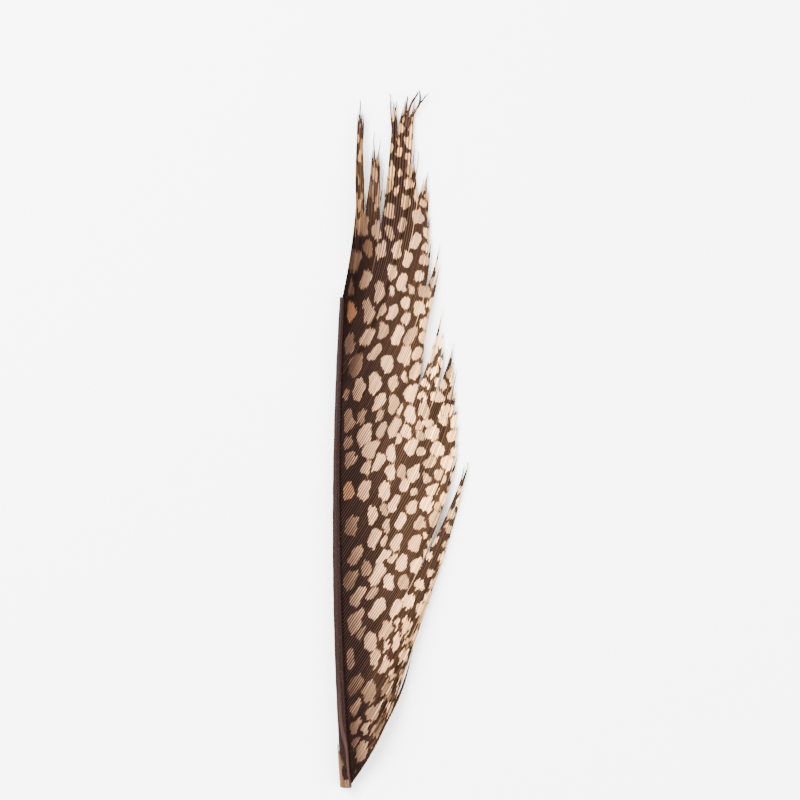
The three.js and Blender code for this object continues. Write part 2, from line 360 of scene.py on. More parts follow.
def read_locks(vane):
    """Every lock of a vane: its two sides, its clump, and where it parts from its neighbours."""
    row_share = 1 - (1 - np.arange(ROWS + 1) / ROWS) ** EDGE_CROWDING
    locks = []
    for clump in read_clumps(vane):
        for index in range(clump["count"]):
            number = len(locks)
            split = LOCK_SPLIT["least"] + LOCK_SPLIT["spread"] * scatter(number)
            if index == 0:
                split = clump["split"]
            locks.append({
                "low": lerp(clump["low"], clump["high"], index / clump["count"]),
                "high": lerp(clump["low"], clump["high"], (index + 1) / clump["count"]),
                "end": LOCK_END["most"] - LOCK_END["spread"] * scatter(number + 50),
                "clump": clump,
                "parts": row_share[row_share <= split + 1e-6].max() if number else OUTER_SPLIT,
                "alone": index == 0,
            })
    for lock, above in zip(locks, locks[1:] + [{"parts": OUTER_SPLIT, "alone": True}]):
        lock["parts_above"] = above["parts"]
        lock["alone_above"] = above["alone"]
    return locks


def barb_curve(vane, root, tip, at, share):
    """A barb's plan. It leaves the shaft at its root lean and straightens to its tip lean."""
    reach = np.linalg.norm(tip - root, axis=-1, keepdims=True)
    cut, top, turn = vane["root_lean"]
    lowest = 1 - smooth(at, 0, 0.1)
    leave = np.radians(lerp(cut, top, smooth(at, turn, 1)) + vane["foot"]["leave"] * lowest)
    arrive = np.radians(lerp(*vane["tip_lean"], at) - vane["foot"]["arrive"] * lowest)
    straight = lerp(*vane["tip_run"], at ** 4)
    after = root + reach * ROOT_RUN * np.concatenate([np.sin(leave), np.cos(leave)], -1)
    before = tip - reach * straight * np.concatenate([np.sin(arrive), np.cos(arrive)], -1)
    run = share[..., None]
    root, after, before, tip = (corner[:, None, :] for corner in (root, after, before, tip))
    return (root * (1 - run) ** 3 + 3 * after * run * (1 - run) ** 2
            + 3 * before * run * run * (1 - run) + tip * run ** 3)


def barb_path(vane, clump, at, share):
    """Points of barbs in the plan. at has one value a barb, and share a row of values a barb."""
    at = np.asarray(at, float)[:, None]
    along = (at - clump["low"]) / (clump["high"] - clump["low"])
    rise = vane["foot"]["rise"] * (1 - smooth(at, 0, 0.06))
    root = np.concatenate([vane["root"](at), SHAFT_LENGTH * at + rise], -1)
    own = curve_through(clump["tips"], along[:, 0])
    joined = own + clump["to_first"] * (1 - along) + clump["to_last"] * along
    split = lerp(clump["split"], clump["split_above"], along)
    unbroken = barb_curve(vane, root, joined, at, share)
    parted = barb_curve(vane, root, own, at, share)
    return lerp(unbroken, parted, smooth(share, split, 1)[..., None])


def lock_path(vane, lock, at, share, gathering):
    """Points of the barbs of one lock, which run together past the lock's splits."""
    middle = (lock["low"] + lock["high"]) / 2
    own = barb_path(vane, lock["clump"], at, share)
    centre = barb_path(vane, lock["clump"], np.full(len(at), middle), share)
    lower_half = np.asarray(at)[:, None] < middle
    parts = np.where(lower_half, lock["parts"], lock["parts_above"])
    alone = np.where(lower_half, lock["alone"], lock["alone_above"])
    eased = smooth(share, parts, 1)
    gather = np.where(alone, lerp(0.05, 1, eased), gathering * lerp(0.03, 1, eased ** 1.5))
    gather = np.where(share > parts, gather, 0)
    return lerp(own, centre, gather[..., None])


# The spots

def spot_zones(places, at):
    """How far places lie in each zone of a vane, from 0 to 1."""
    out, up = distance_out(places), places[:, 1]
    return {
        "all": np.ones(len(at)),
        "shaft": 1 - smooth(out, 3, 10),
        "edge": smooth(out, 11, 18),
        "upper": smooth(up, 88, 104),
        "top": smooth(up, 112, 124),
        "foot": 1 - smooth(at, 0.05, 0.24),
    }


def by_zone(zones, amounts):
    """A measure of the spots at each place, from its amounts in the zones."""
    return sum(amount * zones[zone] for zone, amount in amounts.items())


def along_and_across(steps, ways):
    """Parts of steps that run along and across the ways of spots."""
    along = steps[..., 0] * ways[:, 0] + steps[..., 1] * ways[:, 1]
    across = steps[..., 0] * ways[:, 1] - steps[..., 1] * ways[:, 0]
    return along, across


def try_places(vane, chance):
    """Random places over a vane: where their barbs start, the places, and the barbs' ways."""
    count = vane["spot_tries"]
    at = chance.uniform(0, 1, count)
    share = chance.uniform(0.01, 1.02, count)
    places, ways = np.zeros((count, 2)), np.zeros((count, 2))
    for lock in read_locks(vane):
        inside = (at >= lock["low"]) & (at < lock["high"])
        if inside.any():
            near = barb_path(vane, lock["clump"], at[inside], share[inside][:, None])[:, 0]
            far = barb_path(vane, lock["clump"], at[inside], share[inside][:, None] + 0.02)[:, 0]
            places[inside] = near
            ways[inside] = unit(far - near)
    return at, places, ways


def lay_spots(vane, size):
    """Spots over a vane. Each is kept only if it stands clear of those kept before it."""
    chance = np.random.default_rng(vane["spot_seed"])
    at, places, ways = try_places(vane, chance)
    count = len(at)
    ways[:, 0] *= chance.uniform(0.35, 1, count)
    ways = unit(ways)
    zones = spot_zones(places, at)
    long = size * by_zone(zones, SPOT_LENGTH) * (1 - 0.1 * zones["foot"]) * (1 - 0.3 * zones["top"])
    wide = size * by_zone(zones, SPOT_WIDTH) * (1 - 0.1 * zones["foot"]) * (1 - 0.1 * zones["top"])
    scale = SPOT_SCALE["least"] + SPOT_SCALE["spread"] * chance.random(count) ** 1.5
    long, wide = long * scale, wide * scale
    net = chance.uniform(*NET_CHANCE, count) + by_zone(zones, SPOT_NET)
    kept = []
    for index in np.argsort(-scale * chance.uniform(0.6, 1, count)):
        if kept:
            along, across = along_and_across(places[index] - places[kept], ways[kept])
            along = along / (long[kept] + long[index])
            across = across / (wide[kept] + wide[index])
            if (along ** 2 + across ** 2).min() < SPOT_CLEARANCE:
                continue
        kept.append(index)
    return {
        "place": places[kept], "way": ways[kept], "long": long[kept], "wide": wide[kept],
        "tone": chance.random(len(kept)), "tilt": chance.uniform(*SPOT_TILT, len(kept)),
        "net": net[kept],
        "fill": (by_zone(zones, SPOT_FILL) * chance.uniform(*FILL_CHANCE, count))[kept],
    }


def read_spots(spots, places):
    """How deep each place lies in its spot, in millimetres, with the spot's tone."""
    flat = places.reshape(-1, 2)
    depth, tone = np.zeros(len(flat)), np.zeros(len(flat))
    for start in range(0, len(flat), PLACES_AT_ONCE):
        part = flat[start:start + PLACES_AT_ONCE]
        wave = np.sin(part[:, ::-1] * SPOT_WAVE["rate"] + SPOT_WAVE["shift"])
        waved = part + SPOT_WAVE["height"] * wave
        along, across = along_and_across(waved[:, None] - spots["place"][None], spots["way"])
        across = across / spots["wide"]
        along = along / spots["long"] + spots["tilt"] * across
        away = (np.abs(along) ** SPOT_POWER + np.abs(across) ** SPOT_POWER) ** (1 / SPOT_POWER)
        order = np.argpartition(away, 1, axis=1)[:, :2]
        pair = np.take_along_axis(away, order, 1)
        nearest = order[np.arange(len(part)), pair.argmin(1)]
        first, second = pair.min(1), pair.max(1)
        width = spots["wide"][nearest]
        net = spots["net"][order].mean(1)
        depth[start:start + PLACES_AT_ONCE] = np.minimum(
            (spots["fill"][nearest] - first) * width, (second - first) * width * 0.5 - net)
        tone[start:start + PLACES_AT_ONCE] = spots["tone"][nearest]
    return depth.reshape(places.shape[:-1]), tone.reshape(places.shape[:-1])


# Meshes of barbs and of the shaft

def add_object(name, corners, faces, layers, bake, material):
    """A mesh object from corners in the plan, with its named layers and its bake map."""
    mesh = bpy.data.meshes.new(name)
    places = (corners + PLAN_ORIGIN) * MM
    mesh.from_pydata(places.tolist(), [], faces)
    for layer, values in layers.items():
        attribute = mesh.attributes.new(layer, "FLOAT", "POINT")
        attribute.data.foreach_set("value", np.ascontiguousarray(values, np.float32))
    chart = mesh.uv_layers.new(name="OFBake")
    chart.data.foreach_set("uv", np.ascontiguousarray(bake, np.float32).ravel())
    mesh.polygons.foreach_set("use_smooth", np.ones(len(mesh.polygons), bool))
    mesh.materials.append(material)
    mesh.update()
    piece = bpy.data.objects.new(name, mesh)
    bpy.context.collection.objects.link(piece)
    return piece


def ring_quads(index):
    """Faces between each ring of corner numbers and the next one."""
    turned = np.roll(index, -1, axis=-1)
    return np.stack([index[..., :-1, :], turned[..., :-1, :], turned[..., 1:, :],
                     index[..., 1:, :]], -1).reshape(-1, 4)


def chart_corners(near, far, low, high):
    """The four corners of faces in a bake map."""
    return np.stack([np.stack([near, low], -1), np.stack([far, low], -1),
                     np.stack([far, high], -1), np.stack([near, high], -1)], -2)


class BarbSheet:
    """Collects barbs of one vane, each a closed tapered ribbon, and their layers."""

    NAMES = ("spot", "tone", "out", "across", "under", "barb", "tuft", "loose")

    def __init__(self):
        self.corners, self.faces, self.charts = [], [], []
        self.layers = {name: [] for name in self.NAMES}
        self.total = 0

    def add(self, corners, **layers):
        """corners: barbs x stations x corners round the ribbon x 3."""
        barbs, stations, around, _ = corners.shape
        index = np.arange(barbs * stations * around).reshape(barbs, stations, around)
        self.corners.append(corners.reshape(-1, 3))
        self.faces.append(ring_quads(index + self.total))
        barb, station, side = np.meshgrid(
            np.arange(barbs), np.arange(stations - 1), np.arange(around), indexing="ij")
        near, far = 0.03 + 0.94 * side / around, 0.03 + 0.94 * (side + 1) / around
        chart = chart_corners(barb + near, barb + far, station / (stations - 1),
                              (station + 1) / (stations - 1))
        self.charts.append((chart.reshape(-1, 4, 2), barbs))
        for name in self.NAMES:
            values = np.broadcast_to(layers.get(name, 0.0), corners.shape[:3])
            self.layers[name].append(values.reshape(-1))
        self.total += barbs * stations * around

    def build(self, name, material):
        """Makes one mesh of all the barbs, with a column of the bake map for each."""
        columns = sum(barbs for _, barbs in self.charts)
        used = 0
        charts = []
        for chart, barbs in self.charts:
            charts.append(np.stack([(chart[..., 0] + used) / columns, chart[..., 1]], -1))
            used += barbs
        layers = {layer: np.concatenate(parts) for layer, parts in self.layers.items()}
        return add_object(name, np.concatenate(self.corners), np.concatenate(self.faces).tolist(),
                          layers, np.concatenate(charts), material)


def ribbon(left, centre, right, height, ridge, under):
    """Corners round a row of ribbons: left edge, slope, ridge, slope, right edge, underside."""
    def corner(place, rise):
        return np.concatenate([place, np.maximum(height + rise, FLOOR_GAP)[..., None]], -1)
    return np.stack([
        corner(left, -0.2 * under), corner(lerp(centre, left, 0.4), 0.15 * ridge),
        corner(centre, ridge), corner(lerp(centre, right, 0.4), 0.15 * ridge),
        corner(right, -0.2 * under), corner(centre, -under),
    ], 2)


def count_barbs(vane, lock, pitch):
    """How many barbs a lock has: enough at the shaft, and enough where it is widest."""
    step = pitch / (SHAFT_LENGTH * math.sin(math.radians(vane["root_lean"][0])))
    sides = barb_path(vane, lock["clump"], [lock["low"], lock["high"]], np.full((2, 1), WIDEST))
    spread = np.linalg.norm(sides[0, 0] - sides[1, 0]) / pitch
    crowding = CROWDING["tufts" if lock["low"] > CROWDING["tufts from"] else "locks"]
    return max(2, round((lock["high"] - lock["low"]) / step), round(spread * crowding))


def lay_barbs(vane, lock, settings, chance):
    """Barbs of one lock: their roots, their shares, the corners round them and their ways."""
    count = count_barbs(vane, lock, settings.pitch / MM)
    half = (lock["high"] - lock["low"]) / count / 2
    at = lock["low"] + half * (2 * np.arange(count) + 1)
    off_middle = np.abs(np.linspace(-1, 1, count))
    end = lock["end"] * (1 - 0.02 * chance.random(count) * off_middle)
    run = np.linspace(0, 1, settings.stations)[None]
    share = run * end[:, None]
    centre, left, right = (
        lock_path(vane, lock, at + side * half, share, settings.gathering) for side in (0, -1, 1))
    way = np.gradient(centre, axis=1)
    pace = np.linalg.norm(way, axis=2)
    way /= pace[..., None]
    left_over = np.cumsum(pace[:, ::-1], axis=1)[:, ::-1] - pace[:, -1:]
    width = OVERLAP * lerp(TIP_WIDTH, 1, smooth(left_over, *TIP_TAPER))[..., None]
    lift = 0.05 * chance.uniform(-1, 1, (count, 1)) * run
    height = vane["height"](at[:, None], share) + lift
    corners = ribbon(lerp(centre, left, width), centre, lerp(centre, right, width), height,
                     RIDGE * (1 - 0.6 * run), thickness(share) / 2)
    return at, share, corners, way


def looseness(root, out, up):
    """How ruffled barbs are: at the tufts, at the foot, and a little along the free edge."""
    tufts = smooth(root, 0.9, 0.93) * smooth(up, 108, 120)
    foot = (1 - smooth(root, 0.04, 0.24)) * smooth(out, 2.5, 8)
    return tufts + foot + 0.5 * smooth(out, 13, 20) * smooth(root, 0.08, 0.14)


def darkness(root, out, up):
    """How much spots shrink by the shaft, in the lower bundle, at the foot and at the tips."""
    seam = 0.7 * (1 - smooth(out, 0.1, 0.9))
    bundle = 0.3 * smooth(out, 13, 17) * smooth(root, 0.08, 0.13) * (1 - smooth(root, 0.19, 0.2))
    lowest = 0.9 * (1 - smooth(root, 0.003, 0.016))
    tips = 1.3 * smooth(root, 0.955, 0.965) * smooth(up, 129.5, 131.5)
    return seam + bundle + lowest + tips


def add_painted_light_streaks(depth, loose, chance):
    """Paints light over short stretches of some loose barbs: each stretch becomes all pale, a
    painted glint, or all dark, painted shade.
    """
    count, stations, _ = depth.shape
    start = chance.uniform(0.25, 0.85, (count, 1, 1))
    along = np.linspace(0, 1, stations)[:, None]
    chosen = chance.random((count, 1, 1)) < PAINTED_STREAK_SHARE
    streak = loose * chosen * smooth(along, start, start + 0.03)
    streak = streak * (1 - smooth(along, start + PAINTED_STREAK_FADE[0], start + PAINTED_STREAK_FADE[1]))
    return lerp(depth, chance.choice([-0.4, 0.4], (count, 1, 1)), np.clip(1.8 * streak, 0, 1))


def grow_barbs(sheet, vane, settings):
    """Adds every barb of a vane to the sheet, marked with the vane's spots."""
    spots = lay_spots(vane, settings.spot_size)
    chance = np.random.default_rng(vane["barb_seed"])
    for lock in read_locks(vane):
        at, share, corners, way = lay_barbs(vane, lock, settings, chance)
        count = len(at)
        across = np.tile(ACROSS, (count, 1, 1))
        edge_glint = np.zeros(corners.shape[:3])
        # The free edge of a clump's first barb gets a painted glint: it turns pale as it nears its
        # split, and it loses its painted groove shade.
        if lock["alone"] and lock["low"] > 0:
            across[0, 0, :2] = 0.2
            edge_glint[0, :, :2] = smooth(share[0], lock["parts"] - 0.3, lock["parts"] - 0.1)[:, None]
        if vane is UPPER_VANE:
            edge_glint = np.concatenate([edge_glint[:, :1], edge_glint], 1)
            socket = corners[:, :1].copy()
            socket[..., 0] -= SEAM + SOCKET["inward"]
            socket[..., 1] = np.maximum(socket[..., 1] - SOCKET["back"], 0)
            corners = np.concatenate([socket, corners], 1)
            way = np.concatenate([way[:, :1], way], 1)
        root, up = at[:, None, None], corners[..., 1]
        out = distance_out(corners[..., :2])
        loose = looseness(root, out, up)
        slip = chance.uniform(-1, 1, (count, 1, 1)) * (
            lerp(0.42, 0.2, smooth(out, 1, 14)) + 0.8 * loose * (1 - 0.75 * smooth(out, 12, 17)))
        depth, tone = read_spots(spots, corners[..., :2] + way[:, :, None] * slip[..., None])
        depth = lerp(depth - darkness(root, out, up), 0.4, edge_glint)
        depth = add_painted_light_streaks(depth, loose, chance)
        grey_tuft = (root > 0.91) & (root < 0.96)
        reach = np.clip(out / COLOUR_WIDTH, 0, 1) * (1 + 0.35 * (1 - smooth(root, 0.02, 0.26)))
        reach = reach * (1 - 0.38 * smooth(up, 90, 112))
        sheet.add(corners, spot=depth, tone=tone, out=reach, loose=loose, across=across,
                  under=UNDER, barb=chance.random((count, 1, 1)),
                  tuft=smooth(up, *GOLDEN_HEIGHTS) * (1 - 0.8 * grey_tuft))


def add_loose_barbs(sheet):
    """Adds the single barbs that stand away from the vane."""
    run = np.linspace(0, 1, LOOSE_STATIONS)
    for number, (points, width, dark) in enumerate(LOOSE_BARBS):
        bend = curve_through(points, run)
        centre = bend[:, :2]
        way = unit(np.gradient(centre, axis=0))
        side = np.stack([way[:, 1], -way[:, 0]], 1) * (width / 2 * (1 - 0.75 * run ** 3))[:, None]
        corners = ribbon((centre - side)[None], centre[None], (centre + side)[None],
                         bend[None, :, 2], 0.05, 0.07)
        wave = np.sin(run * LOOSE_BARS["rate"] + number * LOOSE_BARS["shift"])
        bars = LOOSE_BARS["depth"] * wave - dark
        sheet.add(corners, spot=bars[None, :, None], tone=0.3, out=0.4,
                  across=0.5 * ACROSS, under=UNDER, barb=scatter(number),
                  tuft=smooth(corners[..., 1], *GOLDEN_HEIGHTS))


def squared(value):
    """Turns the round of a circle into that of a rounded square."""
    return np.sign(value) * np.abs(value) ** SHAFT_SQUARENESS


def shaft_section(at, turn, swell=0.0):
    """Points on the shaft's skin at places along it and turns round it, swollen by a margin."""
    flat = squared(math.sin(math.pi * 5 / 12))
    across = squared(np.cos(turn)) * (shaft_width(at) / 2 * 1.01 + swell)
    up = np.clip(squared(np.sin(turn)) / flat, -1, 1) * (shaft_depth(at) / 2 + swell)
    return np.stack([
        shaft_centre(at) + across, SHAFT_LENGTH * at + 0 * across,
        SHAFT_LIFT + shaft_depth(at) / 2 + up], -1)


def shaft_rings(settings, turn):
    """Rings of corners from cut end to cut end of the shaft, and whether each ring is pith."""
    at = np.linspace(0, 1, settings.rings)
    skin = shaft_section(at[:, None], turn[None])
    skin[..., 0] += 0.018 * np.sin(at[:, None] * 95 + np.sin(at[:, None] * 31)) * np.cos(turn)
    ends = []
    for end, way in ((0, 1), (-1, -1)):
        rings = []
        for skins, sunk, _ in CUT_RINGS:
            inward = settings.cortex / MM * (1 + skins) / (shaft_width(at[end]) / 2)
            ring = lerp(skin[end], skin[end].mean(0), min(0.85, inward))
            ring[:, 1] = skin[end][0, 1] + way * sunk
            rings.append(ring)
        ends.append(rings)
    pale = [is_pith for _, _, is_pith in CUT_RINGS]
    rows = ends[0][::-1] + list(skin) + ends[1]
    return np.stack(rows), pale[::-1] + [0] * settings.rings + pale


def close_tube(corners):
    """Faces of a tube of rings and of a fan over each end, and their bake map."""
    rows, sides, _ = corners.shape
    index = np.arange(rows * sides).reshape(rows, sides)
    turned = np.roll(index, -1, axis=1)
    first = np.stack([turned[0], index[0], np.full(sides, rows * sides)], -1)
    last = np.stack([index[-1], turned[-1], np.full(sides, rows * sides + 1)], -1)
    row, side = np.meshgrid(np.arange(rows - 1), np.arange(sides), indexing="ij")
    near, far = side / sides * 0.96, (side + 1) / sides * 0.96
    chart = chart_corners(near, far, row / rows, (row + 1) / rows).reshape(-1, 2)
    fans = np.full((2 * sides * 3, 2), (0.98, 0.02))
    return ring_quads(index).tolist() + first.tolist() + last.tolist(), np.concatenate([chart, fans])


def add_cut_end_flap(sheet):
    """Adds the sliver of the lower vane that is folded round the shaft's left flank at the cut."""
    turns = np.linspace(*FLAP_TURNS, FLAP_BARBS)
    reach = np.interp(turns, list(FLAP_REACH), list(FLAP_REACH.values()))
    patch = FLAP_PATCH["half"] * (1 - smooth(turns, *FLAP_PATCH["turns"]))
    half = math.radians(turns[1] - turns[0]) / 2
    run = np.linspace(0, 1, FLAP_STATIONS)
    for number, (turn, length) in enumerate(zip(turns, reach)):
        at = run * length / SHAFT_LENGTH
        taper = 1 - 0.9 * smooth(run, 0.7, 1)
        swell = FLAP_SWELL["most"] * smooth(turn, *FLAP_SWELL["turns"])
        middle = math.radians(turn) + 0.12 * run
        rims = [shaft_section(at, middle + half * side * taper * 1.1, rise + swell)
                for side, rise in zip(ACROSS, FLAP_RISES)]
        corners = np.stack(rims, 1)[None]
        off_patch = np.abs(run * length - FLAP_PATCH["middle"]) - patch[number]
        depth = np.clip(off_patch + 0.3, -0.5, 0.5)
        sheet.add(corners, spot=depth[None, :, None], tone=0.4, out=0.13,
                  across=ACROSS, under=UNDER, barb=scatter(number + 90))


# Materials

class NodeSheet:
    """Adds linked nodes to a material's or a group's tree."""

    def __init__(self, tree):
        self.tree = tree

    def add(self, kind, inputs=(), **settings):
        node = self.tree.nodes.new(kind)
        for key, value in settings.items():
            setattr(node, key, value)
        for key, value in dict(inputs).items():
            socket = node.inputs[key]
            if isinstance(value, bpy.types.NodeSocket):
                self.tree.links.new(value, socket)
            else:
                socket.default_value = value
        return node

    def layer(self, name):
        return self.add("ShaderNodeAttribute", attribute_name=name).outputs["Fac"]

    def combine(self, operation, first, second=0.0):
        return self.add("ShaderNodeMath", {0: first, 1: second}, operation=operation).outputs[0]

    def times(self, first, second):
        return self.combine("MULTIPLY", first, second)

    def plus(self, first, second):
        return self.combine("ADD", first, second)

    def minus(self, first, second):
        return self.combine("SUBTRACT", first, second)

    def ease(self, value, low, high, start=0.0, end=1.0):
        return self.add("ShaderNodeMapRange", {
            "Value": value, "From Min": low, "From Max": high, "To Min": start, "To Max": end,
        }, interpolation_type="SMOOTHSTEP").outputs["Result"]

    def mix(self, share, first, second, blend="MIX"):
        node = self.add("ShaderNodeMix", {0: share, 6: first, 7: second},
                        data_type="RGBA", blend_type=blend)
        return node.outputs[2]

    def dimmed(self, colour, value):
        """A colour multiplied by a number that changes over the surface."""
        grey = self.add("ShaderNodeCombineColor", {0: value, 1: value, 2: value}).outputs[0]
        return self.mix(1.0, colour, grey, "MULTIPLY")

    def noise(self, scale, detail=2.0, rough=0.5, vector=None):
        inputs = {"Scale": scale, "Detail": detail, "Roughness": rough}
        if vector is not None:
            inputs["Vector"] = vector
        return self.add("ShaderNodeTexNoise", inputs).outputs["Fac"]

    def object_place(self, stretch, turn=0.0):
        place = self.add("ShaderNodeTexCoord").outputs["Object"]
        mapping = self.add("ShaderNodeMapping", {
            "Vector": place, "Rotation": (0, 0, turn), "Scale": stretch})
        return mapping.outputs["Vector"]


def new_group(name, inputs, outputs):
    """An empty node group with named sockets, and its sheet, inputs and output node."""
    group = bpy.data.node_groups.new(name, "ShaderNodeTree")
    for label, (kind, default) in inputs.items():
        socket = group.interface.new_socket(label, in_out="INPUT", socket_type=kind)
        socket.default_value = default
    for label, kind in outputs.items():
        group.interface.new_socket(label, in_out="OUTPUT", socket_type=kind)
    sheet = NodeSheet(group)
    return group, sheet, sheet.add("NodeGroupInput").outputs, sheet.add("NodeGroupOutput")


COLOUR, NUMBER = "NodeSocketColor", "NodeSocketFloat"
GREY = (0.5, 0.5, 0.5, 1)
PLUMAGE_COLOURS = {
    "Ground Near Shaft": "ground_near", "Ground At Edge": "ground_edge",
    "Spot Near Shaft": "spot_near", "Spot At Middle": "spot_middle", "Spot At Edge": "spot_edge",
    "Spot On Tuft": "spot_tuft", "Rufous": "rufous",
}


def plumage_group():
    """Spots, net and painted shade in the grooves between barbs of a vane, as a colour, a roughness
    and a height.
    """
    if "Plumage" in bpy.data.node_groups:
        return bpy.data.node_groups["Plumage"]
    inputs = {label: (COLOUR, GREY) for label in PLUMAGE_COLOURS}
    inputs.update({"Painted Groove Shade": (NUMBER, 0.5), "Underside Paleness": (NUMBER, 0.3)})
    group, sheet, given, result = new_group(
        "Plumage", inputs, {"Colour": COLOUR, "Roughness": NUMBER, "Height": NUMBER})
    out, tone, across = sheet.layer("out"), sheet.layer("tone"), sheet.layer("across")
    barb, under, loose = sheet.layer("barb"), sheet.layer("under"), sheet.layer("loose")

    fine = sheet.noise(2600, 3, 0.6, sheet.object_place((1, 0.35, 1), 0.45))
    broad = sheet.noise(160)
    ragged = sheet.times(sheet.minus(fine, 0.5), 0.5)
    spot = sheet.ease(sheet.plus(sheet.layer("spot"), ragged), -0.09, 0.11)

    browned = sheet.plus(out, sheet.times(loose, 0.5))
    ground = sheet.mix(sheet.ease(browned, 0.04, 0.6), given["Ground Near Shaft"],
                       given["Ground At Edge"])
    ground = sheet.mix(sheet.ease(broad, 0.35, 0.7, 0.0, 0.3), ground, DARKEST_GROUND)
    inner = sheet.mix(sheet.ease(out, 0.03, 0.47), given["Spot Near Shaft"],
                      given["Spot At Middle"])
    pale = sheet.mix(sheet.ease(out, 0.4, 0.95), inner, given["Spot At Edge"])
    pale = sheet.mix(sheet.ease(sheet.layer("tuft"), 0, 1, 0, 0.8), pale, given["Spot On Tuft"])
    pale = sheet.mix(sheet.ease(tone, 0.95, 0.98, 0.0, 0.5), pale, given["Rufous"])
    pale = sheet.dimmed(pale, sheet.ease(tone, 0.0, 0.7, 0.5, 1.08))
    colour = sheet.mix(spot, ground, pale)

    # The grooves between barbs get painted shade: the colour darkens towards each ribbon's edges.
    painted_groove_shade = sheet.ease(sheet.combine("ABSOLUTE", across), 0.25, 0.8)
    reach = sheet.ease(out, 0.0, 0.9, 1.0, 0.5)
    painted_groove_shade = sheet.times(sheet.times(painted_groove_shade, reach), given["Painted Groove Shade"])
    # Each barb gets a random tone. On loose barbs a wider spread of pale and dark paints glints and
    # shade, and the painted groove shade darkens every barb's edges.
    tone_and_painted_light = sheet.plus(sheet.ease(barb, 0, 1, 0.76, 1.16),
                       sheet.times(loose, sheet.ease(barb, 0, 1, -0.55, 0.35)))
    tone_and_painted_light = sheet.times(tone_and_painted_light, sheet.minus(1.0, painted_groove_shade))
    colour = sheet.dimmed(colour, tone_and_painted_light)
    colour = sheet.mix(sheet.times(under, given["Underside Paleness"]), colour, UNDERSIDE)
    for label, value in (("Colour", colour), ("Roughness", sheet.ease(fine, 0.3, 0.75, 0.66, 0.82)),
                         ("Height", sheet.times(fine, 0.6))):
        sheet.tree.links.new(value, result.inputs[label])
    return group


def new_material(name):
    """A material with its node sheet and its surface shader."""
    material = bpy.data.materials.new(name)
    material.use_nodes = True
    return material, NodeSheet(material.node_tree), material.node_tree.nodes["Principled BSDF"]


def dress_surface(sheet, surface, colour, rough, height, strength):
    """Links a colour, a roughness and a bumpy height to the shader, and keeps it dull."""
    bump = sheet.add("ShaderNodeBump", {
        "Height": height, "Strength": strength, "Distance": BUMP_DISTANCE})
    for label, value in (("Base Color", colour), ("Roughness", rough),
                         ("Normal", bump.outputs["Normal"])):
        sheet.tree.links.new(value, surface.inputs[label])
    surface.inputs["Specular IOR Level"].default_value = SPECULAR


def vane_material(name, colours, painted_groove_shade):
    """The plumage of one vane."""
    material, sheet, surface = new_material(name)
    look = sheet.add("ShaderNodeGroup", node_tree=plumage_group())
    for label, setting in PLUMAGE_COLOURS.items():
        look.inputs[label].default_value = (*getattr(colours, setting), 1)
    look.inputs["Painted Groove Shade"].default_value = painted_groove_shade
    dress_surface(sheet, surface, look.outputs["Colour"], look.outputs["Roughness"],
                  look.outputs["Height"], 0.35)
    return material


def shaft_material(settings):
    """Dark horn with a painted highlight as a paler band on its left shoulder, and pale pith at the
    cuts.
    """
    material, sheet, surface = new_material("horn")
    flank, pith, cut = sheet.layer("flank"), sheet.layer("pith"), sheet.layer("cut")
    streaks = sheet.noise(900, 3, 0.6, sheet.object_place((1, 0.03, 1)))
    blotch = sheet.noise(220, vector=sheet.object_place((1, 0.3, 1)))
    wave = sheet.times(sheet.minus(blotch, 0.5), 0.25)
    place = sheet.plus(flank, wave)
    # The paler band on the left shoulder is a painted highlight, the light's reflection on that
    # facet, weaker towards the cut.
    band = sheet.times(sheet.ease(place, -0.62, -0.4),
                       sheet.ease(place, -0.12, 0.08, 1.0, 0.0))
    band = sheet.times(band, sheet.ease(streaks, 0.25, 0.7, 0.55, 1.0))
    band = sheet.times(band, sheet.ease(cut, 0, 1, 0.2, 1.0))
    colour = sheet.mix(band, (*settings.horn, 1), (*settings.painted_highlight, 1))
    colour = sheet.mix(sheet.ease(streaks, 0.5, 0.75, 0.0, 0.3), colour, HORN_STREAK)
    specks = sheet.noise(5200, 1, 0.4)
    colour = sheet.mix(sheet.ease(specks, 0.74, 0.8, 0.0, 0.5), colour, HORN_SPECK)
    cells = sheet.noise(3800, 2, 0.6)
    pale = sheet.mix(sheet.ease(cells, 0.35, 0.65), PITH_CELL, (*settings.pith, 1))
    colour = sheet.mix(pith, colour, pale)
    rough = sheet.ease(streaks, 0.2, 0.8, 0.42, 0.6)
    rough = sheet.combine("MAXIMUM", rough, sheet.times(pith, 0.85))
    pits = sheet.times(sheet.times(cells, pith), 3.0)
    dress_surface(sheet, surface, colour, rough, sheet.plus(streaks, pits), 0.3)
    surface.inputs["Coat Weight"].default_value = 0.02
    surface.inputs["Coat Roughness"].default_value = 0.25
    return material


# Settings

def colour_setting(name, description, default):
    return bpy.props.FloatVectorProperty(
        name=name, description=description, subtype="COLOR", size=3, min=0, max=1, default=default)


def size_setting(name, description, default):
    return bpy.props.FloatProperty(
        name=name, description=description, default=default, min=0, subtype="DISTANCE",
        unit="LENGTH", precision=5)


def count_setting(name, description, default, least, most):
    return bpy.props.IntProperty(
        name=name, description=description, default=default, min=least, max=most)


def share_setting(name, description, default):
    return bpy.props.FloatProperty(
        name=name, description=description, default=default, min=0, max=1, subtype="FACTOR")


